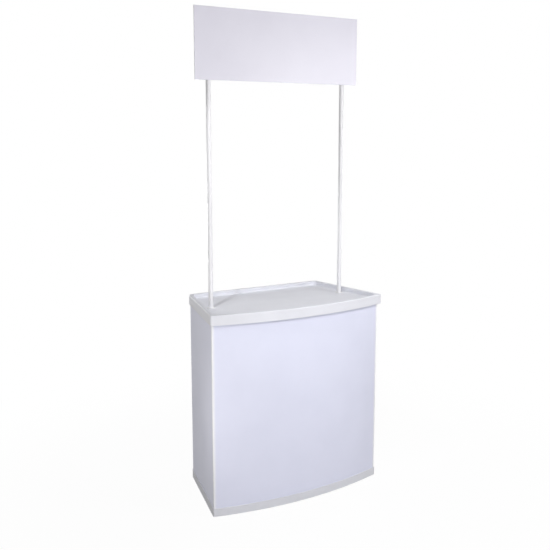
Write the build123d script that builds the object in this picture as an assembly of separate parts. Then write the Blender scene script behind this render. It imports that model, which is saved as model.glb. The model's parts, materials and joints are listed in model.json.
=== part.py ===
# Exhibition counter: a moulded base and top, a folding sheet body, two plug-in poles and a header board.
# Millimetres, +Z up, +Y towards the open back, origin on the floor at the middle of the outer box.

from build123d import *

import os
from math import asin, cos, degrees, hypot, radians, sin, sqrt

os.makedirs("parts", exist_ok=True)

# Overall shape
body_front_width = 808.0  # between the two front creases
body_back_width = 657.0  # between the side faces, carried on to the rear face
body_depth = 398.0  # front creases to the rear face
front_bow = 52.0  # how far the front bulges past its creases
table_height = 850.0  # floor to the top of the tray's rim
header_clearance = 914.0  # tray rim to the lower edge of the header
header_height = 284.0

# Sheet body
sheet = 2.0
rear_bend_radius = 24.0  # outside of the bend between each side and its rear return
return_width = 90.0  # how far each rear return reaches in from its side
strip = 0.8  # soft hinge strip welded inside each front crease
strip_leg = 24.0
strip_end_gap = 4.0

# Base
foot_proud = 1.5
foot_thickness = 3.0
foot_radius = 12.0
foot_boss_wall = 3.0
foot_inset = 38.0
base_rim_height = 36.5  # floor to the top of the base's rim
base_floor_height = 20.0  # floor to the base's inner floor, where the sheet stands
base_floor = 3.0
rim_wall = 2.0
rim_edge_radius = 0.8
upstand_wall = 2.5
upstand_height = 12.0
base_rib = 2.5
base_rib_count_across = 7
base_rib_count_along = 4
cup_wall = 2.5
cup_height = 25.0

# Table top
overhang_front = 18.0
overhang_side_front = 12.0  # how much wider than the body at the front corners, each side
overhang_side_back = 4.0
overhang_back = 4.0
table_edge = 42.0  # height of the skirt
table_front_radius = 7.0
table_back_radius = 28.0
table_edge_radius = 4.0
skirt_wall = 2.5
table_skin = 3.0
tray_rim_width = 18.0
tray_depth = 19.0
tray_front_radius = 10.0
tray_back_radius = 18.0
tray_foot_radius = 5.0
tray_lip_radius = 3.0
groove_lip = 2.5
groove_depth = 8.0
groove_roof = 11.0  # skirt's lower edge to the groove's roof, where the sheet ends
table_rib = 2.5
table_rib_depth = 12.0
table_rib_count_across = 9
table_rib_count_along = 4

# Poles
pole_radius = 10.0
pole_wall = 1.0
pole_inset = 47.5  # side face of the body to the pole's axis
pole_setback = 182.0  # front creases back to the poles' axes
pole_top_margin = 20.0  # header's upper edge down to the pole's end
joiner_reach = 45.0  # how far the joiner stands up into the upper section
joiner_hold = 40.0
joiner_wall = 3.4
joiner_chamfer = 1.5
cap_head = 2.0
cap_stem = 12.0
cap_wall = 2.0
cap_edge_radius = 0.7

# Pole sockets
socket_wall = 1.6
socket_depth = 60.0  # how far the pole stands below the tray's floor
socket_floor = 3.0
socket_flange_width = 5.0
socket_flange = 2.5  # how far the flange stands up from the tray's floor
socket_recess = 0.8  # and how far it is let into it
socket_chamfer = 1.0
boss_wall = 5.0

# Posts inside the body, one under each socket
post_radius = 14.0
post_wall = 1.5

# Shelf and its rails
shelf_height = 420.0  # floor to the shelf's upper face
shelf_board = 5.0
shelf_gap = 8.0  # body's outer face to the shelf's edge
shelf_corner_radius = 12.0
shelf_rib = 3.0
shelf_rib_depth = 18.0
shelf_rib_margin = 30.0  # post to the ribs' ends
shelf_rib_count = 5
shelf_notch_gap = 3.0
rail_thickness = 2.0
rail_flange = 20.0
rail_leg = 22.0
rail_length = 260.0

# Turn latches at the rear returns
latch_setback = 14.0  # return's inner face to the latch's pivot
latch_boss_radius = 8.0
latch_lift = 2.2  # base rim up to the underside of the nose
latch_nose = 5.6
latch_nose_angle = 30.0  # to each side of the middle
latch_hub_radius = 9.0
latch_hub_height = 10.0
latch_lever_width = 6.0
latch_lever_length = 24.0
latch_lever_height = 8.0
latch_lever_radius = 2.0
screw_radius = 2.0
screw_head_radius = 4.0
screw_head = 2.4
screw_bite = 12.0
screw_slot_width = 1.2
screw_slot_depth = 0.9

# Header board and what holds it
header_overhang = 65.5  # pole's axis to the header's end
header_board = 4.0
header_corner_radius = 1.5
tape = 1.0
tape_inset = 2.0
clip_plate = 2.5
clip_plate_width = 34.0
clip_height = 30.0
clip_wall = 2.6
clip_opening = 105.0  # angle left open at the back of each clip
clip_margin = 36.0  # header's upper and lower edges to the clips' nearer ends

# Clearances
sheet_clearance = 0.3  # sheet in its grooves
running_clearance = 0.1  # poles in sockets, on joiners and in clips
post_clearance = 0.2  # posts in their cups
latch_clearance = 1.2  # nose in its slot
pivot_clearance = 0.1
weld_clearance = 0.05  # behind the hinge strips
cut = 5.0  # overrun of every cutting body

# Levels and places worked out from the sizes
half_front = body_front_width / 2
half_back = body_back_width / 2
back_y = (overhang_front + front_bow + body_depth - overhang_back) / 2
crease_y = back_y - body_depth
bow_radius = (half_front**2 + front_bow**2) / (2 * front_bow)
apex_y = crease_y - front_bow
bow_center_y = apex_y + bow_radius

sheet_bottom = base_floor_height
upstand_top = base_floor_height + upstand_height
base_underside = base_floor_height - base_floor
skirt_bottom = table_height - table_edge
sheet_top = skirt_bottom + groove_roof
groove_bottom = sheet_top - groove_depth
tray_floor = table_height - tray_depth
floor_underside = tray_floor - table_skin

pole_y = crease_y + pole_setback
pole_x = half_front - pole_setback * (half_front - half_back) / body_depth - pole_inset
socket_radius = pole_radius + running_clearance
sleeve_radius = socket_radius + socket_wall
flange_radius = sleeve_radius + socket_flange_width
socket_seat = tray_floor - socket_recess
pole_bottom = tray_floor - socket_depth
header_bottom = table_height + header_clearance
header_top = header_bottom + header_height
pole_top = header_top - pole_top_margin
pole_joint = (pole_bottom + pole_top) / 2

latch_x = half_back - return_width / 2
latch_y = back_y - sheet - latch_setback
latch_reach = latch_setback + sheet
latch_bottom = base_rim_height + latch_lift
screw_seat = latch_bottom + latch_hub_height - screw_head


# Outlines: a bow front, two straight sides that run in towards the back, and a straight back
class SideLine:
    def __init__(self, front_x, front_y, back_x, rear_y):
        self.start = (front_x, front_y)
        self.length = hypot(back_x - front_x, rear_y - front_y)
        self.run = ((back_x - front_x) / self.length, (rear_y - front_y) / self.length)

    def point(self, offset, distance):
        x = self.start[0] + offset * self.run[1] + distance * self.run[0]
        y = self.start[1] - offset * self.run[0] + distance * self.run[1]
        return (x, y)

    def at_rear(self, offset, rear_y):
        return self.point(offset, (rear_y - self.point(offset, 0)[1]) / self.run[1])

    def at_bow(self, offset, radius):
        x, y = self.point(offset, 0)
        from_center = y - bow_center_y
        along = x * self.run[0] + from_center * self.run[1]
        return self.point(offset, -along - sqrt(along**2 - x**2 - from_center**2 + radius**2))


body_side = SideLine(half_front, crease_y, half_back, back_y)
table_side = SideLine(half_front + overhang_side_front, crease_y - overhang_front,
                      half_back + overhang_side_back, back_y + overhang_back)


def outline(side, offset, bow, rear_y, front_radius, back_radius):
    front_x, front_y = side.at_bow(offset, bow)
    rear_x = side.at_rear(offset, rear_y)[0]
    front = ThreePointArc((-front_x, front_y), (0, bow_center_y - bow), (front_x, front_y))
    right = Line((front_x, front_y), (rear_x, rear_y))
    rear = Line((rear_x, rear_y), (-rear_x, rear_y))
    left = Line((-rear_x, rear_y), (-front_x, front_y))
    face = make_face(Curve() + [front, right, rear, left])
    if front_radius > 0:
        face = fillet(face.vertices().sort_by(Axis.Y)[0:2], front_radius)
    if back_radius > 0:
        face = fillet(face.vertices().sort_by(Axis.Y)[-2:], back_radius)
    return face


def around_body(offset, front_radius=0.0):
    # everything that follows the sheet stands off its outer face by one distance
    return outline(body_side, offset, bow_radius + offset, back_y + offset,
                   front_radius, rear_bend_radius + offset)


def inside_table(inset, front_radius, back_radius):
    return outline(table_side, -inset, bow_radius + overhang_front - inset,
                   back_y + overhang_back - inset, front_radius, back_radius)


# Plain shapes
def slab(face, low, high):
    return Pos(0, 0, low) * extrude(face, amount=high - low)


def rod(radius, low, high, x=0.0, y=0.0):
    return Pos(x, y, low) * Cylinder(radius, high - low, align=(Align.CENTER, Align.CENTER, Align.MIN))


def pipe(radius, wall, low, high, x=0.0, y=0.0):
    return rod(radius, low, high, x, y) - rod(radius - wall, low - cut, high + cut, x, y)


def block(x_low, x_high, y_low, y_high, z_low, z_high):
    size = (x_high - x_low, y_high - y_low, z_high - z_low)
    return Pos(x_low, y_low, z_low) * Box(*size, align=(Align.MIN, Align.MIN, Align.MIN))


def polygon(points):
    edges = [Line(start, end) for start, end in zip(points, points[1:] + points[:1])]
    return make_face(Curve() + edges)


def spread(count, low, high):
    # places of evenly spaced ribs, none of them on an end
    return [low + (high - low) * (index + 1) / (count + 1) for index in range(count)]


def rib_grid(across, along, rib, low, high):
    grid = Part()
    for x in spread(across, -half_front, half_front):
        grid += block(x - rib / 2, x + rib / 2, apex_y - overhang_front, back_y + overhang_back, low, high)
    for y in spread(along, apex_y, back_y):
        grid += block(-half_front, half_front, y - rib / 2, y + rib / 2, low, high)
    return grid


def mirrored(shape):
    return mirror(shape, about=Plane.YZ)


def save(shape, name):
    export_step(shape, f"parts/{name}.step")


def save_pair(right_shape, name):
    save(right_shape, f"right_{name}")
    save(mirrored(right_shape), f"left_{name}")


# Base tray: rim round the sheet, floor, upstand inside the sheet, ribs and foot bosses below, cups for posts
foot_places = [(side * (half_front - foot_inset), crease_y + foot_radius) for side in (-1, 1)]
foot_places += [(side * (half_back - foot_inset), back_y - foot_inset) for side in (-1, 1)]
foot_places += [(0.0, apex_y + foot_inset), (0.0, back_y - foot_inset)]


def base_tray():
    rim = sheet_clearance + rim_wall
    tray = slab(around_body(rim, rim), foot_proud, base_rim_height)
    tray = fillet(tray.faces().sort_by(Axis.Z)[-1].edges(), rim_edge_radius)
    tray -= slab(around_body(sheet_clearance), base_floor_height, base_rim_height + cut)

    hollow = slab(around_body(sheet_clearance), foot_proud - cut, base_underside)
    hollow -= rib_grid(base_rib_count_across, base_rib_count_along, base_rib, foot_proud, base_underside)
    for x, y in foot_places:
        hollow -= rod(foot_radius + foot_boss_wall, foot_proud, base_underside, x, y)
    tray -= hollow
    for x, y in foot_places:
        tray -= rod(foot_radius, foot_proud - cut, foot_thickness, x, y)

    inner = -sheet - sheet_clearance
    upstand = slab(around_body(inner), base_floor_height, upstand_top)
    upstand -= slab(around_body(inner - upstand_wall), base_floor_height - cut, upstand_top + cut)
    tray += upstand
    for side in (-1, 1):
        tray += pipe(post_radius + post_clearance + cup_wall, cup_wall, base_floor_height,
                     base_floor_height + cup_height, side * pole_x, pole_y)
        tray += rod(latch_boss_radius, base_floor_height, latch_bottom, side * latch_x, latch_y)
        tray -= rod(screw_radius, latch_bottom - screw_bite, latch_bottom + cut, side * latch_x, latch_y)
    return tray


save(base_tray(), "base_tray")
save(Compound([rod(foot_radius, 0, foot_thickness, x, y) for x, y in foot_places]), "rubber_feet")


# Sheet body: a bowed front and two sides, each side bent round to its rear return; they meet on a mitre
crease_outside = body_side.at_bow(0, bow_radius)
crease_inside = body_side.at_bow(-sheet, bow_radius - sheet)


def front_panel():
    outer_left = (-crease_outside[0], crease_outside[1])
    inner_left = (-crease_inside[0], crease_inside[1])
    edges = [
        ThreePointArc(outer_left, (0, apex_y), crease_outside),
        Line(crease_outside, crease_inside),
        ThreePointArc(crease_inside, (0, apex_y + sheet), inner_left),
        Line(inner_left, outer_left),
    ]
    return slab(make_face(Curve() + edges), sheet_bottom, sheet_top)


def side_panel():
    ring = slab(around_body(0), sheet_bottom, sheet_top)
    ring -= slab(around_body(-sheet), sheet_bottom - cut, sheet_top + cut)
    mitre_x = (crease_outside[0] - crease_inside[0]) / sheet
    mitre_y = (crease_outside[1] - crease_inside[1]) / sheet
    mitre_start = (crease_outside[0] + cut * mitre_x, crease_outside[1] + cut * mitre_y)
    mitre_end = (crease_inside[0] - cut * mitre_x, crease_inside[1] - cut * mitre_y)
    return_end = half_back - return_width
    keep = polygon([
        mitre_start,
        (half_front + 2 * cut, mitre_start[1]),
        (half_front + 2 * cut, back_y + cut),
        (return_end, back_y + cut),
        (return_end, back_y - rear_bend_radius),
        mitre_end,
    ])
    shape = ring & slab(keep, sheet_bottom, sheet_top)
    half_slot = sqrt(latch_reach**2 - latch_setback**2) + latch_clearance
    return shape - block(latch_x - half_slot, latch_x + half_slot, back_y - sheet - cut, back_y + cut,
                         latch_bottom - latch_clearance, latch_bottom + latch_nose + latch_clearance)


def hinge_strip():
    low = upstand_top + strip_end_gap
    high = groove_bottom - strip_end_gap
    outer_face = -sheet - weld_clearance
    ring = slab(around_body(outer_face), low, high)
    ring -= slab(around_body(outer_face - strip), low - cut, high + cut)
    return ring & rod(strip_leg, low, high, crease_inside[0], crease_inside[1])


save(front_panel(), "front_panel")
save_pair(side_panel(), "side_panel")
save_pair(hinge_strip(), "hinge_strip")


# Posts: tubes that stand in the base's cups and carry the table top under each pole
save_pair(pipe(post_radius, post_wall, base_floor_height, groove_bottom, pole_x, pole_y), "post")


# Shelf rails, welded to the side panels, and the shelf that lies on them between the posts
def shelf_rail():
    top = shelf_height - shelf_board
    near = (body_side.length - rail_length) / 2
    far = near + rail_length
    profile = block(-rail_flange, 0, near, far, top - rail_thickness, top)
    profile += block(-rail_thickness, 0, near, far, top - rail_leg, top)
    lean = degrees(asin(-body_side.run[0]))
    return Pos(*body_side.point(-sheet, 0), 0) * Rot(0, 0, lean) * profile


def shelf():
    underside = shelf_height - shelf_board
    rib_low = underside - shelf_rib_depth
    face = outline(body_side, -shelf_gap, bow_radius - shelf_gap, back_y - shelf_gap,
                   shelf_corner_radius, shelf_corner_radius)
    board = slab(face, underside, shelf_height)
    reach = pole_x - post_radius - shelf_rib_margin
    apron_y = back_y - shelf_gap - shelf_rib
    for y in spread(shelf_rib_count, crease_y, apron_y) + [apron_y]:
        board += block(-reach, reach, y, y + shelf_rib, rib_low, underside)
    notch = post_radius + shelf_notch_gap
    for side in (-1, 1):
        board -= rod(notch, rib_low, shelf_height + cut, side * pole_x, pole_y)
        low_x, high_x = sorted((side * pole_x, side * half_front))
        board -= block(low_x, high_x, pole_y - notch, pole_y + notch, rib_low, shelf_height + cut)
    return board


save_pair(shelf_rail(), "shelf_rail")
save(shelf(), "shelf")


# Turn latches: each nose reaches through a slot in its rear return and keeps the sheet down in the base
def latch():
    nose_x = latch_reach * sin(radians(latch_nose_angle)) / cos(radians(latch_nose_angle))
    wedge = polygon([(0, 0), (nose_x, latch_reach), (-nose_x, latch_reach)])
    nose_top = latch_bottom + latch_nose
    shape = slab(wedge, latch_bottom, nose_top) & rod(latch_reach, latch_bottom, nose_top)
    lever = block(-latch_lever_width / 2, latch_lever_width / 2, -latch_hub_radius - latch_lever_length, 0,
                  latch_bottom, latch_bottom + latch_lever_height)
    shape += fillet(lever.edges().filter_by(Axis.Z).sort_by(Axis.Y)[0:2], latch_lever_radius)
    shape += rod(latch_hub_radius, latch_bottom, latch_bottom + latch_hub_height)
    shape -= rod(screw_radius + pivot_clearance, latch_bottom - cut, screw_seat + cut)
    shape -= rod(screw_head_radius + pivot_clearance, screw_seat, screw_seat + screw_head + cut)
    return Pos(latch_x, latch_y, 0) * shape


def latch_screw():
    screw_top = screw_seat + screw_head
    shape = rod(screw_radius, latch_bottom - screw_bite, screw_seat) + rod(screw_head_radius, screw_seat, screw_top)
    shape -= block(-screw_head_radius, screw_head_radius, -screw_slot_width / 2, screw_slot_width / 2,
                   screw_top - screw_slot_depth, screw_top + cut)
    return Pos(latch_x, latch_y, 0) * shape


save_pair(latch(), "latch")
save(Compound([latch_screw(), mirrored(latch_screw())]), "latch_screws")


# Table top: a thin moulding with a skirt, a rim round a sunk tray, ribs below and a groove for the sheet
def table_top():
    shell = slab(inside_table(0, table_front_radius, table_back_radius), skirt_bottom, table_height)
    shell = fillet(shell.faces().sort_by(Axis.Z)[-1].edges(), table_edge_radius)
    tray = slab(inside_table(tray_rim_width, tray_front_radius, tray_back_radius), tray_floor, table_height)
    shell -= fillet(tray.faces().sort_by(Axis.Z)[0].edges(), tray_foot_radius)
    shell = fillet(shell.faces().sort_by(Axis.Z)[-1].inner_wires()[0].edges(), tray_lip_radius)

    rim_top = table_height - table_skin
    hollow = slab(inside_table(skirt_wall, table_front_radius - skirt_wall, table_back_radius - skirt_wall),
                  skirt_bottom - cut, rim_top)
    hollow -= slab(inside_table(tray_rim_width - table_skin, tray_front_radius + table_skin,
                                tray_back_radius + table_skin), floor_underside, rim_top + cut)
    inner = -sheet - sheet_clearance
    ring = slab(around_body(sheet_clearance + groove_lip), groove_bottom, rim_top)
    ring -= slab(around_body(inner - groove_lip), groove_bottom - cut, rim_top + cut)
    groove = slab(around_body(sheet_clearance), groove_bottom - cut, sheet_top)
    groove -= slab(around_body(inner), groove_bottom - 2 * cut, sheet_top + cut)
    rib_low = floor_underside - table_rib_depth
    ribs = rib_grid(table_rib_count_across, table_rib_count_along, table_rib, rib_low, floor_underside)
    ribs &= slab(around_body(inner), rib_low, floor_underside)
    hollow = hollow - (ring - groove) - ribs
    for side in (-1, 1):
        hollow -= rod(sleeve_radius + boss_wall, groove_bottom, floor_underside, side * pole_x, pole_y)
    shell -= hollow
    for side in (-1, 1):
        shell -= rod(sleeve_radius, groove_bottom - cut, table_height, side * pole_x, pole_y)
        shell -= rod(flange_radius + running_clearance, socket_seat, table_height, side * pole_x, pole_y)
    return shell


save(table_top(), "table_top")


# Pole sockets: flanged sleeves with a closed foot, pressed down into the tray
def pole_socket():
    flange_top = tray_floor + socket_flange
    flange = rod(flange_radius, socket_seat, flange_top)
    shape = chamfer(flange.edges().sort_by(Axis.Z)[-1], socket_chamfer)
    shape += rod(sleeve_radius, pole_bottom - socket_floor, flange_top)
    shape -= rod(socket_radius, pole_bottom, flange_top + cut)
    return Pos(pole_x, pole_y, 0) * shape


save_pair(pole_socket(), "pole_socket")


# Poles: two tube sections each, a joiner between them and a cap on top
pole_bore = pole_radius - pole_wall


def pole_joiner():
    peg = rod(pole_bore - running_clearance, pole_joint, pole_joint + joiner_reach)
    shape = chamfer(peg.edges().sort_by(Axis.Z)[-1], joiner_chamfer)
    shape += rod(pole_bore, pole_joint - joiner_hold, pole_joint)
    shape -= rod(pole_bore - joiner_wall, pole_joint - joiner_hold - cut, pole_joint + joiner_reach + cut)
    return Pos(pole_x, pole_y, 0) * shape


def pole_cap():
    head = rod(pole_radius, pole_top, pole_top + cap_head)
    shape = fillet(head.edges().sort_by(Axis.Z)[-1], cap_edge_radius)
    shape += pipe(pole_bore, cap_wall, pole_top - cap_stem, pole_top)
    return Pos(pole_x, pole_y, 0) * shape


save_pair(pipe(pole_radius, pole_wall, pole_bottom, pole_joint, pole_x, pole_y), "lower_pole")
save_pair(pipe(pole_radius, pole_wall, pole_joint, pole_top, pole_x, pole_y), "upper_pole")
save_pair(pole_joiner(), "pole_joiner")
save_pair(pole_cap(), "pole_cap")


# Header board, taped to four spring clips that grip the poles
clip_bore = pole_radius + running_clearance
clip_outside = clip_bore + clip_wall
plate_front = pole_y - clip_outside
board_back = plate_front - tape
clip_levels = [header_bottom + clip_margin, header_top - clip_margin - clip_height]


def header():
    end_x = pole_x + header_overhang
    board = block(-end_x, end_x, board_back - header_board, board_back, header_bottom, header_top)
    return fillet(board.edges().filter_by(Axis.Y), header_corner_radius)


def header_clip(low):
    high = low + clip_height
    half_plate = clip_plate_width / 2
    shape = rod(clip_outside, low, high)
    shape += block(-half_plate, half_plate, -clip_outside, clip_plate - clip_outside, low, high)
    shape += block(-clip_outside, clip_outside, -clip_outside, -clip_bore / 2, low, high)
    shape -= rod(clip_bore, low - cut, high + cut)
    half_angle = radians(clip_opening / 2)
    edge_x = 2 * clip_outside * sin(half_angle)
    edge_y = 2 * clip_outside * cos(half_angle)
    shape -= slab(polygon([(0, 0), (edge_x, edge_y), (-edge_x, edge_y)]), low - cut, high + cut)
    return Pos(pole_x, pole_y, 0) * shape


def header_tape(low):
    reach = clip_plate_width / 2 - tape_inset
    return block(pole_x - reach, pole_x + reach, board_back, plate_front,
                 low + tape_inset, low + clip_height - tape_inset)


clips = [header_clip(low) for low in clip_levels]
tapes = [header_tape(low) for low in clip_levels]
save(header(), "header_board")
save(Compound(clips), "right_header_clips")
save(Compound([mirrored(shape) for shape in clips]), "left_header_clips")
save(Compound(tapes + [mirrored(shape) for shape in tapes]), "header_tapes")
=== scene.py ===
import json
import math

import bmesh
import bpy
from mathutils import Matrix, Vector, noise


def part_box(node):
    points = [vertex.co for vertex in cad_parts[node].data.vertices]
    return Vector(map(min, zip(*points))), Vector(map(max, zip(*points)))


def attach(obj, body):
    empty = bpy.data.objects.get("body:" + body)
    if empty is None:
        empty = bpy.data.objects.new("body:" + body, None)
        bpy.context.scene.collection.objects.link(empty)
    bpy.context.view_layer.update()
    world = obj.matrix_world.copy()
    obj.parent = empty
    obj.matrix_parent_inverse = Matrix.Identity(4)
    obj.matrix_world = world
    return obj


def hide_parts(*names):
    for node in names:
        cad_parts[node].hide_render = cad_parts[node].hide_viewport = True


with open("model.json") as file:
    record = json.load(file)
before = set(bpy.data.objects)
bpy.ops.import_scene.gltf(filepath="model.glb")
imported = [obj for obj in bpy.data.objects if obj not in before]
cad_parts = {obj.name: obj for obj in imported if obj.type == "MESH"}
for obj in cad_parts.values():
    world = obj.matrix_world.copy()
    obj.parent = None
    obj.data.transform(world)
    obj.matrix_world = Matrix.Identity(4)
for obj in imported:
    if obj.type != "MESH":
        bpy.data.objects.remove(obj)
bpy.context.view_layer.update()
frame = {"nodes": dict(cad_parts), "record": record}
nodes = frame["nodes"]
print("frame loaded:", len(nodes), "nodes")


def addObject(name, data):
    made = bpy.data.objects.new(name, data)
    bpy.context.scene.collection.objects.link(made)
    return made


# The camera stands where the photograph's did, to the left of the counter and above its top
photoCamera = {
    "place": (-1.6047, -2.8125, 1.5471),
    "turnRight": 29.34,  # degrees from straight along +Y
    "tiltDown": 8.67,
    "lens": 49.48,
    "shiftDown": 0.045,
    "seesTo": 60.0,
}


def makeCamera(values):
    data = bpy.data.cameras.new("photoCamera")
    data.lens = values["lens"]
    data.shift_y = -values["shiftDown"]
    data.clip_end = values["seesTo"]
    camera = addObject("photoCamera", data)
    camera.location = values["place"]
    upright = math.radians(90 - values["tiltDown"])
    camera.rotation_euler = (upright, 0.0, -math.radians(values["turnRight"]))
    bpy.context.scene.camera = camera


makeCamera(photoCamera)


# Small tools for every node tree
def opaque(tone):
    return (*tone, 1.0)


def feed(tree, socket, given):
    # another node's output is linked, and anything else becomes the socket's own value
    if isinstance(given, bpy.types.NodeSocket):
        tree.links.new(given, socket)
    else:
        socket.default_value = given


def socketNamed(sockets, name):
    # a Mix node has a socket of each name for every data type, and only those in use are enabled
    return next(socket for socket in sockets if socket.name == name and socket.enabled)


def fill(tree, node, inputs):
    # a key is a socket's name, with underscores for its spaces
    for key, given in inputs.items():
        feed(tree, socketNamed(node.inputs, key.replace("_", " ")), given)


def addNode(tree, kind, **inputs):
    made = tree.nodes.new(kind)
    fill(tree, made, inputs)
    return made


def addGroup(tree, group, **inputs):
    made = tree.nodes.new("ShaderNodeGroup")
    made.node_tree = group
    fill(tree, made, inputs)
    return made


def addMath(tree, operation, *given):
    made = tree.nodes.new("ShaderNodeMath")
    made.operation = operation
    for socket, value in zip(made.inputs, given):
        feed(tree, socket, value)
    return made.outputs[0]


def addVectorMath(tree, operation, *given):
    made = tree.nodes.new("ShaderNodeVectorMath")
    made.operation = operation
    for socket, value in zip(made.inputs, given):
        feed(tree, socket, value)
    return made.outputs["Value"]


def addMix(tree, kind, share, first, second):
    made = tree.nodes.new("ShaderNodeMix")
    made.data_type = kind
    fill(tree, made, {"Factor": share, "A": first, "B": second})
    return socketNamed(made.outputs, "Result")


def addRange(tree, value, low, high, atLow=0.0, atHigh=1.0, smooth=False):
    made = addNode(tree, "ShaderNodeMapRange", Value=value, From_Min=low, From_Max=high,
                   To_Min=atLow, To_Max=atHigh)
    if smooth:
        made.interpolation_type = "SMOOTHSTEP"
    return made.outputs[0]


def addNoise(tree, where, **inputs):
    return addNode(tree, "ShaderNodeTexNoise", Vector=where, **inputs).outputs["Fac"]


def onObject(tree):
    return tree.nodes.new("ShaderNodeTexCoord").outputs["Object"]


def emptyTree(owner, outKind):
    owner.use_nodes = True
    owner.node_tree.nodes.clear()
    return owner.node_tree, owner.node_tree.nodes.new(outKind)


def showMixed(tree, out, share, first, second):
    # what the output shows: the first shader where the share is 0, the second where it is 1
    made = tree.nodes.new("ShaderNodeMixShader")
    for socket, given in zip(made.inputs, (share, first.outputs[0], second.outputs[0])):
        tree.links.new(given, socket)
    tree.links.new(made.outputs[0], out.inputs["Surface"])


# A plain pale studio: a dim even room, and a floor that the camera sees as white
white = (1.0, 1.0, 1.0)
studio = {
    "room": 0.08,
    "roomTint": (1.0, 0.97, 0.92),
    "floorSize": 24.0,
    "floorTone": (0.95, 0.95, 0.95),  # as the camera sees it
    "floorBounce": (0.64, 0.63, 0.61),  # as it lights the counter
    "floorGlow": 0.96,  # how much of the floor's look is plain white: the rest takes the shadow
    "floorReach": (0.7, 1.9),  # and from where to where it turns wholly white
}

# Soft lamps round the counter, each with a place, a size and a power
lamps = {
    "keyLamp": {"place": (-1.6, -2.6, 2.35), "size": (0.45, 0.6), "power": 21.0},
    "lowLamp": {"place": (-0.5, -2.3, 1.0), "size": (1.2, 1.4), "power": 20.0},
    "topLamp": {"place": (0.5, 0.2, 3.0), "size": (0.6, 0.8), "power": 9.5},
    # a narrow beam on the tray, which draws the poles' shadows beside their feet
    "trayLamp": {"place": (-1.06, -0.64, 2.56), "aim": (0.12, 0.06, 0.83), "cone": 26.0,
                 "softEdge": 0.4, "radius": 0.045, "power": 41.0},
    "sideLamp": {"place": (-0.8, -0.27, 0.6), "size": (0.25, 0.8), "power": 0.8,
                 "tint": (1.0, 0.97, 0.93)},
    "rightLamp": {"place": (0.92, -1.3, 1.68), "size": (0.6, 0.8), "power": 12.0},
    "farSideLamp": {"place": (2.0, 0.5, 1.1), "size": (0.8, 1.0), "power": 8.0},
    "backLamp": {"place": (-0.4, 2.7, 0.95), "size": (1.2, 0.8), "power": 32.0},
}
lampAim = (0.0, 0.0, 1.0)  # for every lamp that has no aim of its own


def makeLamp(name, values):
    narrow = "cone" in values
    data = bpy.data.lights.new(name, "SPOT" if narrow else "AREA")
    data.energy = values["power"]
    data.color = values.get("tint", white)
    if narrow:
        data.spot_size = math.radians(values["cone"])
        data.spot_blend = values["softEdge"]
        data.shadow_soft_size = values["radius"]
    else:
        data.shape = "RECTANGLE"
        data.size, data.size_y = values["size"]
    lamp = addObject(name, data)
    lamp.location = values["place"]
    toward = Vector(values.get("aim", lampAim)) - lamp.location
    lamp.rotation_euler = toward.to_track_quat("-Z", "Y").to_euler()


def seenWhite(tree):
    # 1 where the camera, a mirror or a glass looks, 0 for light that falls on the counter
    path = tree.nodes.new("ShaderNodeLightPath").outputs
    direct = addMath(tree, "MAXIMUM", path["Is Camera Ray"], path["Is Glossy Ray"])
    return addMath(tree, "MAXIMUM", direct, path["Is Transmission Ray"])


def makeWorld(values):
    world = bpy.data.worlds.new("studioRoom")
    bpy.context.scene.world = world
    tree, out = emptyTree(world, "ShaderNodeOutputWorld")
    room = addNode(tree, "ShaderNodeBackground", Color=opaque(values["roomTint"]),
                   Strength=values["room"])
    backdrop = addNode(tree, "ShaderNodeBackground", Color=opaque(white), Strength=1.0)
    showMixed(tree, out, seenWhite(tree), room, backdrop)


def makeFloor(values):
    material = bpy.data.materials.new("studioFloor")
    tree, out = emptyTree(material, "ShaderNodeOutputMaterial")
    seen = seenWhite(tree)
    tone = addMix(tree, "RGBA", seen, opaque(values["floorBounce"]), opaque(values["floorTone"]))
    matte = addNode(tree, "ShaderNodeBsdfDiffuse", Color=tone)
    glow = addNode(tree, "ShaderNodeEmission", Color=opaque(white), Strength=1.0)
    away = addVectorMath(tree, "LENGTH", onObject(tree))
    near, far = values["floorReach"]
    whiter = addRange(tree, away, low=near, high=far, atLow=values["floorGlow"], smooth=True)
    showMixed(tree, out, addMath(tree, "MULTIPLY", seen, whiter), matte, glow)
    bm = bmesh.new()
    bmesh.ops.create_grid(bm, x_segments=1, y_segments=1, size=values["floorSize"] / 2)
    mesh = bpy.data.meshes.new("studioFloor")
    bm.to_mesh(mesh)
    bm.free()
    mesh.materials.append(material)
    addObject("studioFloor", mesh)


makeWorld(studio)
makeFloor(studio)
for lampName, lampValues in lamps.items():
    makeLamp(lampName, lampValues)
bpy.context.scene.view_settings.view_transform = "Standard"
print("camera, room and lamps set")


# Shader groups that several finishes share
def newGroup(name, inputs, outputs):
    group = bpy.data.node_groups.new(name, "ShaderNodeTree")
    for label, kind, value in inputs:
        socket = group.interface.new_socket(name=label, in_out="INPUT", socket_type=kind)
        socket.default_value = value
    for label in outputs:
        group.interface.new_socket(name=label, in_out="OUTPUT", socket_type="NodeSocketFloat")
    given = group.nodes.new("NodeGroupInput").outputs
    return group, given, group.nodes.new("NodeGroupOutput")


def makeGrainGroup():
    # the fine spark-eroded skin of a moulding: height for the bump, tone for the colour
    group, given, end = newGroup(
        "mouldGrain",
        [("Scale", "NodeSocketFloat", 900.0), ("Softness", "NodeSocketFloat", 0.5)],
        ["Height", "Tone"])
    where = onObject(group)
    pits = addNoise(group, where, Scale=given["Scale"], Detail=3.0)
    cells = addNode(group, "ShaderNodeTexVoronoi", Vector=where, Scale=given["Scale"])
    cells.feature = "SMOOTH_F1"
    height = addMix(group, "FLOAT", given["Softness"], pits, cells.outputs["Distance"])
    clouds = addNoise(group, where, Scale=6.0, Detail=4.0, Roughness=0.55)
    fill(group, end, {"Height": height, "Tone": clouds})
    return group


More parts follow.
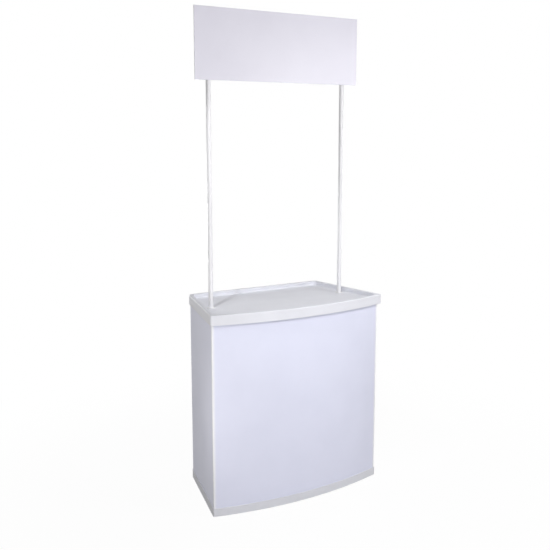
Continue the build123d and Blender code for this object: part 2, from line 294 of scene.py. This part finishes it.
def makeTracesGroup():
    # traces of use: soft smudges, fine scuffs, and patchy dirt that grows towards the floor
    group, given, end = newGroup(
        "traces",
        [("Amount", "NodeSocketFloat", 0.5), ("Foot", "NodeSocketFloat", 0.06)],
        ["Smudge", "Scuff", "Low"])
    where = onObject(group)
    smudges = addNoise(group, where, Scale=9.0, Detail=6.0, Roughness=0.6, Distortion=0.4)
    smudge = addRange(group, smudges, low=0.45, high=0.75, atHigh=given["Amount"])
    stretched = addNode(group, "ShaderNodeMapping", Vector=where, Scale=(14.0, 14.0, 190.0),
                        Rotation=(0.35, 0.2, 0.1))
    lines = addNoise(group, stretched.outputs[0], Scale=1.0, Detail=5.0, Roughness=0.75)
    scuff = addRange(group, lines, low=0.62, high=0.72, atHigh=given["Amount"])
    height = addNode(group, "ShaderNodeSeparateXYZ", Vector=where).outputs["Z"]
    low = addRange(group, height, low=0.0, high=given["Foot"], atLow=1.0, atHigh=0.0)
    patches = addNoise(group, where, Scale=38.0, Detail=6.0, Roughness=0.65)
    dirt = addMath(group, "MULTIPLY", low, patches)
    fill(group, end, {"Smudge": smudge, "Scuff": scuff, "Low": dirt})
    return group


def makeRollGroup():
    # faint lines left in rolled or extruded stock, running along one axis
    group, given, end = newGroup(
        "rollLines", [("Across", "NodeSocketVector", (260.0, 260.0, 1.2))], ["Height"])
    stretched = addNode(group, "ShaderNodeMapping", Vector=onObject(group), Scale=given["Across"])
    lines = addNoise(group, stretched.outputs[0], Scale=1.0, Detail=2.0, Roughness=0.5)
    fill(group, end, {"Height": lines})
    return group


def makeFoldHighlightGroup():
    # painted highlight along the two folds of the sheet, where the light catches the creases: 1 on
    # two upright lines, mirror images of each other, and 0 beside them
    group, given, end = newGroup(
        "paintedFoldHighlight",
        [("Line", "NodeSocketVector", (0.4, 0.0, 0.0)), ("Reach", "NodeSocketFloat", 0.01)],
        ["Mask"])
    where = onObject(group)
    split = addNode(group, "ShaderNodeSeparateXYZ", Vector=where).outputs
    level = addNode(group, "ShaderNodeCombineXYZ", X=addMath(group, "ABSOLUTE", split["X"]),
                    Y=split["Y"])
    away = addVectorMath(group, "DISTANCE", level.outputs[0], given["Line"])
    near = addRange(group, away, low=0.0, high=given["Reach"], atLow=1.0, atHigh=0.0, smooth=True)
    blotches = addNoise(group, where, Scale=55.0, Detail=4.0, Roughness=0.6)
    uneven = addRange(group, blotches, low=0.3, high=0.6, atLow=0.75)
    fill(group, end, {"Mask": addMath(group, "MULTIPLY", near, uneven)})
    return group


grainGroup = makeGrainGroup()
tracesGroup = makeTracesGroup()
rollGroup = makeRollGroup()
foldHighlightGroup = makeFoldHighlightGroup()
print("shader groups made")

# What the finishes share
grainSoftness = {"grain": 0.45, "peel": 0.0}  # how much of the relief is round cells, not pits
wear = {
    "cloudsFrom": 0.25,  # the tone drifts between a finish's two tones within these levels
    "cloudsTo": 0.6,
    "dirt": 0.22,
    "dirtTone": 0.62,  # as a share of the finish's second tone
    "dulling": 0.16,  # how much rougher a smudge or a scuff is
    "plainShine": 0.5,
}

# Every finish: base colour, its second tone, gloss, and which relief it has
finishes = {
    "moulded_plastic": {
        "tone": (0.780, 0.788, 0.846), "shade": (0.741, 0.749, 0.806), "rough": 0.52,
        "shine": 0.32, "relief": "grain", "scale": 1150.0, "depth": 0.000035, "traces": 0.45},
    "body_sheet": {
        "tone": (0.795, 0.812, 0.965), "shade": (0.770, 0.788, 0.940), "rough": 0.36,
        "shine": 0.22, "relief": "roll", "scale": (300.0, 300.0, 1.5), "depth": 0.000010,
        # a painted highlight: the sheet is drawn paler along its two folds, where the light
        # catches them
        "traces": 0.35, "foldHighlightAt": (0.404, -0.166, 0.0), "foldHighlightReach": 0.015,
        "foldHighlightTone": (0.95, 0.955, 0.985)},
    "header_sheet": {
        "tone": (0.800, 0.785, 0.880), "shade": (0.780, 0.765, 0.860), "rough": 0.38,
        "shine": 0.42, "relief": "roll", "scale": (1.5, 300.0, 300.0), "depth": 0.000010,
        "traces": 0.25},
    "shelf_plastic": {
        "tone": (0.780, 0.788, 0.792), "shade": (0.730, 0.738, 0.744), "rough": 0.50,
        "relief": "grain", "scale": 900.0, "depth": 0.000045, "traces": 0.6},
    "soft_strip": {
        "tone": (0.800, 0.805, 0.830), "shade": (0.760, 0.765, 0.790), "rough": 0.42,
        "relief": "roll", "scale": (900.0, 900.0, 2.0), "depth": 0.00002, "traces": 0.3},
    "rail_plastic": {
        "tone": (0.790, 0.795, 0.805), "shade": (0.750, 0.755, 0.765), "rough": 0.34,
        "relief": "roll", "scale": (700.0, 3.0, 700.0), "depth": 0.000015, "traces": 0.4},
    "pole_paint": {
        "tone": (0.800, 0.796, 0.825), "shade": (0.782, 0.778, 0.807), "rough": 0.28,
        "relief": "peel", "scale": 650.0, "depth": 0.000008, "traces": 0.25},
    "post_paint": {
        "tone": (0.780, 0.785, 0.800), "shade": (0.750, 0.755, 0.770), "rough": 0.32,
        "relief": "peel", "scale": 600.0, "depth": 0.000010, "traces": 0.35},
    "fitting_plastic": {
        "tone": (0.800, 0.800, 0.810), "shade": (0.765, 0.765, 0.775), "rough": 0.30,
        "relief": "grain", "scale": 1500.0, "depth": 0.00001, "traces": 0.3},
    "clip_plastic": {
        "tone": (0.790, 0.795, 0.810), "shade": (0.750, 0.755, 0.770), "rough": 0.27,
        "relief": "grain", "scale": 1500.0, "depth": 0.00001, "traces": 0.2},
    "latch_plastic": {
        "tone": (0.560, 0.570, 0.590), "shade": (0.520, 0.530, 0.550), "rough": 0.33,
        "relief": "grain", "scale": 1300.0, "depth": 0.00002, "traces": 0.5},
    "foam_tape": {
        "tone": (0.830, 0.830, 0.815), "shade": (0.740, 0.740, 0.720), "rough": 0.85,
        "relief": "grain", "scale": 2200.0, "depth": 0.0001, "traces": 0.2},
    "foot_rubber": {
        "tone": (0.200, 0.200, 0.205), "shade": (0.150, 0.150, 0.155), "rough": 0.78,
        "relief": "grain", "scale": 1600.0, "depth": 0.00005, "traces": 0.8},
    "screw_steel": {
        "tone": (0.620, 0.620, 0.640), "shade": (0.540, 0.540, 0.560), "rough": 0.30,
        "relief": "peel", "scale": 1800.0, "depth": 0.00001, "traces": 0.6, "metal": 1.0},
}


def makeFinish(name, values):
    material = bpy.data.materials.new(name)
    tree, out = emptyTree(material, "ShaderNodeOutputMaterial")
    grain = addGroup(tree, grainGroup)
    traces = addGroup(tree, tracesGroup, Amount=values["traces"]).outputs
    clouds = addRange(tree, grain.outputs["Tone"], low=wear["cloudsFrom"], high=wear["cloudsTo"])
    colour = addMix(tree, "RGBA", clouds, opaque(values["shade"]), opaque(values["tone"]))
    # painted highlight: a paler colour along the sheet's folds, where the light catches the
    # creases
    if "foldHighlightAt" in values:
        foldHighlight = addGroup(tree, foldHighlightGroup, Line=values["foldHighlightAt"], Reach=values["foldHighlightReach"])
        colour = addMix(tree, "RGBA", foldHighlight.outputs["Mask"], colour, opaque(values["foldHighlightTone"]))
    dirt = addMath(tree, "MULTIPLY", traces["Low"], wear["dirt"] * values["traces"])
    dirtTone = opaque([wear["dirtTone"] * part for part in values["shade"]])
    colour = addMix(tree, "RGBA", dirt, colour, dirtTone)
    worn = addMath(tree, "MAXIMUM", traces["Smudge"], traces["Scuff"])
    rough = addRange(tree, worn, low=0.0, high=1.0, atLow=values["rough"],
                     atHigh=min(1.0, values["rough"] + wear["dulling"]))
    if values["relief"] == "roll":
        height = addGroup(tree, rollGroup, Across=values["scale"]).outputs["Height"]
    else:
        softness = grainSoftness[values["relief"]]
        fill(tree, grain, {"Scale": values["scale"], "Softness": softness})
        height = grain.outputs["Height"]
    bump = addNode(tree, "ShaderNodeBump", Strength=1.0, Distance=values["depth"], Height=height)
    skin = addNode(tree, "ShaderNodeBsdfPrincipled", Base_Color=colour, Roughness=rough,
                   Normal=bump.outputs[0], Metallic=values.get("metal", 0.0),
                   Specular_IOR_Level=values.get("shine", wear["plainShine"]))
    tree.links.new(skin.outputs[0], out.inputs["Surface"])
    return material


finishOf = {name: makeFinish(name, values) for name, values in finishes.items()}
slotOf = {part["node"]: part["material_slot"] for part in frame["record"]["subparts"]}
bodyOf = {name: body for body, held in frame["record"]["behaviour"]["bodies"].items()
          for name in held}
for nodeName, node in nodes.items():
    node.data.materials.clear()
    node.data.materials.append(finishOf[slotOf[nodeName]])
print("finishes made:", len(finishOf))

# Small tools that the pieces share
sides = (("left", -1), ("right", 1))
tolerance = {
    "weld": 1e-6,
    "cadWeld": 2e-6,
    "cut": 1e-7,
    "rim": 1e-5,
    "flat": 0.5,  # degrees
}


def push(bm, geom, step, steps):
    # extrudes in even steps and gives back what stands at the end
    return bmesh.ops.spin(bm, geom=geom, cent=(0, 0, 0), axis=(0, 0, 1), dvec=step, angle=0.0,
                          steps=steps)["geom_last"]


def swing(bm, geom, center, angle, steps):
    return bmesh.ops.spin(bm, geom=geom, cent=(*center, 0), axis=(0, 0, 1), angle=angle,
                          steps=steps)["geom_last"]


def weld(bm):
    bmesh.ops.remove_doubles(bm, verts=bm.verts, dist=tolerance["weld"])


def faceOut(bm, toward):
    # an open sheet's faces all look to one side, which is then made the outer one
    bmesh.ops.recalc_face_normals(bm, faces=bm.faces)
    bm.faces.ensure_lookup_table()
    if bm.faces[0].normal.dot(Vector(toward)) < 0:
        bmesh.ops.reverse_faces(bm, faces=bm.faces)


def cutAt(bm, point, normal, clear=False):
    # adds an edge loop on a plane, or takes off all beyond it and closes the end
    geom = [*bm.verts, *bm.edges, *bm.faces]
    bmesh.ops.bisect_plane(bm, geom=geom, dist=tolerance["cut"], plane_co=point,
                           plane_no=normal, clear_outer=clear)
    if clear:
        bmesh.ops.holes_fill(bm, edges=[edge for edge in bm.edges if edge.is_boundary])


def soften(bm, width, segments=2, over=40.0, under=180.0, edges=None):
    # rounds every edge that turns by an angle between two limits, in degrees
    sharp = [edge for edge in edges or bm.edges if len(edge.link_faces) == 2
             and math.radians(over) < edge.calc_face_angle(0.0) <= math.radians(under)]
    bmesh.ops.bevel(bm, geom=sharp, offset=width, affect="EDGES", segments=segments,
                    profile=0.5, material=-1, clamp_overlap=True)


def ringEdges(bm):
    # the level edges of a turned shape
    return [edge for edge in bm.edges
            if abs(edge.verts[0].co.z - edge.verts[1].co.z) < tolerance["weld"]]


def turned(profile, center, steps):
    # a section's corners, each a radius and a height, spun once round an upright axis: one that
    # starts off the axis is a ring, and gets its last edge too
    bm = bmesh.new()
    corners = [bm.verts.new((center[0] + radius, center[1], height)) for radius, height in profile]
    pairs = list(zip(corners, corners[1:]))
    if profile[0][0] > 0:
        pairs.append((corners[-1], corners[0]))
    edges = [bm.edges.new(pair) for pair in pairs]
    bmesh.ops.spin(bm, geom=corners + edges, cent=(*center, 0), axis=(0, 0, 1), angle=math.tau,
                   steps=steps, use_merge=True)
    weld(bm)
    bmesh.ops.dissolve_degenerate(bm, edges=bm.edges, dist=tolerance["cut"])
    bmesh.ops.recalc_face_normals(bm, faces=bm.faces)
    return bm


def copyOf(name):
    # a copy of a CAD node, its triangles merged and its flat faces joined
    bm = bmesh.new()
    bm.from_mesh(nodes[name].data)
    bmesh.ops.remove_doubles(bm, verts=bm.verts, dist=tolerance["cadWeld"])
    bmesh.ops.dissolve_limit(bm, angle_limit=math.radians(tolerance["flat"]), verts=bm.verts,
                             edges=bm.edges)
    return bm


def place(bm, name, replaced, smoothUnder=32.0):
    # the finished piece takes the place, the body and the finish of the CAD node it stands for
    mesh = bpy.data.meshes.new(name)
    bm.to_mesh(mesh)
    bm.free()
    mesh.shade_smooth()
    mesh.set_sharp_from_angle(angle=math.radians(smoothUnder))
    slot = slotOf[replaced]
    mesh.materials.append(finishOf[slot])
    piece = addObject(name, mesh)
    even = piece.modifiers.new("evenShading", "WEIGHTED_NORMAL")  # large faces stay flat
    even.keep_sharp = True
    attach(piece, bodyOf[replaced])
    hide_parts(replaced)


def fade(distance, reach):
    # 0 at an edge, 1 from some way in
    share = max(0.0, min(1.0, distance / reach))
    return share * share * (3 - 2 * share)


# The sheet body: a bowed front and two sides, mitred where they meet at the creases
bodyShape = {
    "frontWidth": 0.808,
    "backWidth": 0.657,
    "creaseY": -0.166,
    "backY": 0.232,
    "bow": 0.052,
    "thick": 0.002,
    "rearBend": 0.024,
    "rearReturn": 0.090,
    "overrun": 0.004,  # made this much too long, then cut on the mitre
    "rows": 44,
    "frontColumns": 56,
    "sideColumns": 30,
    "bendColumns": 10,
    "returnColumns": 8,
    "ripple": 0.00035,  # how unevenly the sheet hangs in its grooves
    "rippleSize": (3.2, 3.2, 1.7),
    "calmRows": 0.09,  # it lies true this near its lower and upper edge
    "calmColumns": 0.07,  # and this near its folds
    "creaseFlat": 0.0011,  # how deep the pressed fold takes the corner off
    "edge": 0.0004,
    "rearFrom": 0.1,  # only edges behind this y are rounded: those in front lie in the fold
}

halfFront = bodyShape["frontWidth"] / 2
halfBack = bodyShape["backWidth"] / 2
bowRadius = (halfFront**2 + bodyShape["bow"]**2) / (2 * bodyShape["bow"])
bowCenter = (0.0, bodyShape["creaseY"] - bodyShape["bow"] + bowRadius)
bowAngle = math.asin(halfFront / bowRadius)
bowEnd = Vector((math.cos(bowAngle), math.sin(bowAngle), 0.0))  # the front's run at its right end
sideDepth = bodyShape["backY"] - bodyShape["creaseY"]
sideRun = Vector((halfBack - halfFront, sideDepth, 0.0)).normalized()
sideOut = Vector((sideRun.y, -sideRun.x, 0.0))
creaseCorner = Vector((halfFront, bodyShape["creaseY"], 0.0))
creaseOut = (bowEnd - sideRun).normalized()
mitre = (bowEnd + sideRun).normalized()


def onSide(side, vector):
    # everything above is for the right side, and the left is its mirror image
    return Vector((side * vector.x, vector.y, vector.z))


def rippleAt(values, point, low, high, fromFold):
    x, y, z = values["rippleSize"]
    wave = noise.noise(Vector((x * point.x, y * point.y, z * point.z)))
    fromEdge = min(point.z - low, high - point.z)
    calm = fade(fromEdge, values["calmRows"]) * fade(fromFold, values["calmColumns"])
    return values["ripple"] * wave * calm


def cutMitre(bm, values, side, toward):
    # cuts a sheet's end on the mitre, then takes the outer corner off where the fold was pressed
    corner, out = onSide(side, creaseCorner), onSide(side, creaseOut)
    cutAt(bm, corner, toward, clear=True)
    cutAt(bm, corner - out * values["creaseFlat"], out, clear=True)
    soften(bm, values["edge"], segments=3, over=30.0, under=60.0)


def makeFrontSheet(values):
    low, high = (corner[2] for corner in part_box("front_panel"))
    bm = bmesh.new()
    first = bm.verts.new((halfFront, values["creaseY"], low))
    push(bm, [first], (0, 0, (high - low) / values["rows"]), values["rows"])
    over = values["overrun"] / bowRadius
    turn = Matrix.Rotation(over, 3, "Z")
    bmesh.ops.rotate(bm, verts=bm.verts, cent=(*bowCenter, 0), matrix=turn)
    swing(bm, [*bm.verts, *bm.edges], bowCenter, -2 * (bowAngle + over), values["frontColumns"])
    weld(bm)
    faceOut(bm, (0, -1, 0))
    for vert in bm.verts:
        out = Vector((vert.co.x, vert.co.y - bowCenter[1], 0.0)).normalized()
        vert.co += out * rippleAt(values, vert.co, low, high, halfFront - abs(vert.co.x))
    bmesh.ops.solidify(bm, geom=bm.faces, thickness=values["thick"])
    for side in (-1, 1):
        cutMitre(bm, values, side, onSide(side, mitre))
    place(bm, "frontSheet", "front_panel")


# The slot in each rear return that a latch's nose reaches through
latchSlot = {
    "middle": 0.2835,
    "halfWidth": 0.00895,
    "low": 0.0375,
    "high": 0.0455,
    "within": 0.0005,  # how near the back a face has to lie to be in the return
}


def cutLatchSlot(bm, values, side):
    middle = side * values["middle"]
    for edge in (middle - values["halfWidth"], middle + values["halfWidth"]):
        cutAt(bm, (edge, 0, 0), (1, 0, 0))
    for edge in (values["low"], values["high"]):
        cutAt(bm, (0, 0, edge), (0, 0, 1))
    gone = []
    for face in bm.faces:
        x, y, z = face.calc_center_median()
        if (y > bodyShape["backY"] - values["within"] and abs(x - middle) < values["halfWidth"]
                and values["low"] < z < values["high"]):
            gone.append(face)
    bmesh.ops.delete(bm, geom=gone, context="FACES")


def makeSideSheet(values, word, side):
    node = word + "_side_panel"
    low, high = (corner[2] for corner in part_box(node))
    bend = values["rearBend"]
    bendFoot = creaseCorner - sideOut * bend  # from here the bend's centre lies along the side
    along = (values["backY"] - bend - bendFoot.y) / sideRun.y
    bendCenter = bendFoot + sideRun * along
    step = sideRun * (along + values["overrun"]) / values["sideColumns"]
    reach = bendCenter.x - (halfBack - values["rearReturn"])
    start = creaseCorner - sideRun * values["overrun"]
    bm = bmesh.new()
    first = bm.verts.new((start.x, start.y, low))
    push(bm, [first], (0, 0, (high - low) / values["rows"]), values["rows"])
    last = push(bm, [*bm.verts, *bm.edges], step, values["sideColumns"])
    last = swing(bm, last, bendCenter[:2], math.acos(sideOut.y), values["bendColumns"])
    push(bm, last, (-reach / values["returnColumns"], 0, 0), values["returnColumns"])
    weld(bm)
    if side < 0:
        bmesh.ops.scale(bm, vec=(-1, 1, 1), verts=bm.verts)
    out = onSide(side, sideOut)
    faceOut(bm, out)
    for vert in bm.verts:
        fromCrease = (vert.co.xy - onSide(side, creaseCorner).xy).length
        fromBend = values["backY"] - bend - vert.co.y
        vert.co += out * rippleAt(values, vert.co, low, high, min(fromCrease, fromBend))
    cutLatchSlot(bm, latchSlot, side)
    bmesh.ops.solidify(bm, geom=bm.faces, thickness=values["thick"])
    cutMitre(bm, values, side, -onSide(side, mitre))
    rear = [edge for edge in bm.edges if edge.verts[0].co.y > values["rearFrom"]]
    soften(bm, values["edge"], over=60.0, edges=rear)
    place(bm, word + "SideSheet", node)


makeFrontSheet(bodyShape)
for sideWord, sideSign in sides:
    makeSideSheet(bodyShape, sideWord, sideSign)
print("sheet body made")

# The header: a foamed board that stands forward a little at its free ends
headerBoard = {
    "corner": 0.0015,
    "edge": 0.0005,
    "columns": 48,
    "rows": 14,
    "heldBetween": 0.322,  # the poles hold it this far out, and its ends are free
    "endBow": 0.0012,
    "ripple": 0.00030,
    "rippleSize": 4.0,
    "ripplePlane": 0.7,
}


def makeHeaderBoard(values):
    low, high = (Vector(corner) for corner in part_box("header_board"))
    middle, size = (low + high) / 2, high - low
    bm = bmesh.new()
    bmesh.ops.create_cube(bm, size=1.0, matrix=Matrix.LocRotScale(middle, None, size))
    through = [edge for edge in bm.edges
               if abs(edge.verts[0].co.y - edge.verts[1].co.y) > size.y / 2]
    soften(bm, values["corner"], segments=4, edges=through)
    soften(bm, values["edge"], segments=3)
    for index in range(1, values["columns"]):
        cutAt(bm, (low.x + size.x * index / values["columns"], 0, 0), (1, 0, 0))
    for index in range(1, values["rows"]):
        cutAt(bm, (0, 0, low.z + size.z * index / values["rows"]), (0, 0, 1))
    held = values["heldBetween"]
    for vert in bm.verts:
        free = max(0.0, abs(vert.co.x) - held) / (high.x - held)
        plane = Vector((vert.co.x, values["ripplePlane"], vert.co.z))
        wave = noise.noise(plane * values["rippleSize"])
        vert.co.y += values["ripple"] * wave - values["endBow"] * free * free
    place(bm, "headerBoard", "header_board")


makeHeaderBoard(headerBoard)

# The poles: two painted tubes a side, their ends rolled in, plugged into each other
poleShape = {"x": 0.321975, "y": 0.016, "radius": 0.010, "wall": 0.001, "endRound": 0.0003,
             "steps": 64}


def poleCenter(side):
    return side * poleShape["x"], poleShape["y"]


def makePole(values, side, node, name):
    low, high = (corner[2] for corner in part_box(node))
    outer, inner = values["radius"], values["radius"] - values["wall"]
    profile = [(outer, low), (outer, high), (inner, high), (inner, low)]
    bm = turned(profile, poleCenter(side), values["steps"])
    soften(bm, values["endRound"], edges=ringEdges(bm))
    place(bm, name, node)


# The caps: a shallow dome with a stem inside the tube
capShape = {
    "dome": 0.0008,
    "domeCurve": ((0.0, 0.0), (0.4, 0.12), (0.75, 0.5), (1.0, 1.0)),  # shares out and down
    "edge": 0.00035,
    "stem": 0.012,
    "stemRadius": 0.009,
    "wall": 0.002,
    "steps": 64,
}


def makeCap(values, side, node, name):
    low, high = (corner[2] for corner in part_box(node))
    outer, stem = poleShape["radius"], values["stemRadius"]
    bore = stem - values["wall"]
    stemTop = low + values["stem"]
    profile = [(out * outer, high - down * values["dome"]) for out, down in values["domeCurve"]]
    profile += [(outer, stemTop), (stem, stemTop), (stem, low), (bore, low), (bore, stemTop),
                (0, stemTop)]
    bm = turned(profile, poleCenter(side), values["steps"])
    soften(bm, values["edge"], segments=3, edges=ringEdges(bm))
    place(bm, name, node)


# The sockets in the tray: a closed sleeve under a flange with a rounded edge
socketShape = {
    "bore": 0.0101,
    "sleeve": 0.0117,
    "flange": 0.0167,
    "seat": 0.8302,  # the height of the flange's underside
    "floor": 0.003,
    "flangeRound": 0.0014,
    "edge": 0.0003,
    "steps": 64,
}


def makeSocket(values, side, node, name):
    low, high = (corner[2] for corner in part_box(node))
    sleeve, flange, bore, seat = (values[key] for key in ("sleeve", "flange", "bore", "seat"))
    floor = low + values["floor"]
    profile = [(0, low), (sleeve, low), (sleeve, seat), (flange, seat), (flange, high),
               (bore, high), (bore, floor), (0, floor)]
    bm = turned(profile, poleCenter(side), values["steps"])
    center = Vector(poleCenter(side))
    top = [edge for edge in ringEdges(bm) if edge.verts[0].co.z > high - tolerance["weld"]
           and (edge.verts[0].co.xy - center).length > flange - tolerance["rim"]]
    soften(bm, values["flangeRound"], segments=5, edges=top)
    soften(bm, values["edge"], edges=ringEdges(bm))
    place(bm, name, node)


for sideWord, sideSign in sides:
    makePole(poleShape, sideSign, sideWord + "_lower_pole", sideWord + "LowerPole")
    makePole(poleShape, sideSign, sideWord + "_upper_pole", sideWord + "UpperPole")
    makeCap(capShape, sideSign, sideWord + "_pole_cap", sideWord + "PoleCap")
    makeSocket(socketShape, sideSign, sideWord + "_pole_socket", sideWord + "PoleSocket")
print("header board, poles, caps and sockets made")

# Small mouldings keep the CAD's shape and get rounded edges
smallMouldings = {
    "left_header_clips": {"piece": "leftHeaderClips", "edge": 0.0004},
    "right_header_clips": {"piece": "rightHeaderClips", "edge": 0.0004},
    "latch_screws": {"piece": "latchScrews", "edge": 0.0002},
    "left_shelf_rail": {"piece": "leftShelfRail", "edge": 0.0004},
    "right_shelf_rail": {"piece": "rightShelfRail", "edge": 0.0004},
    "shelf": {"piece": "shelfBoard", "edge": 0.0008},
}


def makeSmallMoulding(node, values):
    bm = copyOf(node)
    soften(bm, values["edge"], segments=3, over=50.0)
    place(bm, values["piece"], node)


for mouldingNode, mouldingValues in smallMouldings.items():
    makeSmallMoulding(mouldingNode, mouldingValues)

# The turn latches, with ridges on the lever for the thumb
latchShape = {
    "edge": 0.0004,
    "pivot": 0.033,  # from the lever's end
    "leverEnd": 0.01,
    "ridges": 5,
    "ridgeFrom": 0.016,  # from the pivot
    "ridgeStep": 0.003,
    "ridgeSize": (0.0046, 0.0012, 0.0010),
    "ridgeEdge": 0.0004,
}


def makeLatch(values, node, name):
    low, high = (Vector(corner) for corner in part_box(node))
    bm = copyOf(node)
    soften(bm, values["edge"], segments=3, over=50.0)
    top = max(vert.co.z for vert in bm.verts if vert.co.y < low.y + values["leverEnd"])
    firstRidge = low.y + values["pivot"] - values["ridgeFrom"]
    for index in range(values["ridges"]):
        middle = Vector(((low.x + high.x) / 2, firstRidge - index * values["ridgeStep"], top))
        shape = Matrix.LocRotScale(middle, None, Vector(values["ridgeSize"]))
        ridge = set(bmesh.ops.create_cube(bm, size=1.0, matrix=shape)["verts"])
        edges = [edge for edge in bm.edges if edge.verts[0] in ridge]
        soften(bm, values["ridgeEdge"], segments=3, edges=edges)
    place(bm, name, node)


for sideWord, sideSign in sides:
    makeLatch(latchShape, sideWord + "_latch", sideWord + "TurnLatch")
print("small mouldings made")
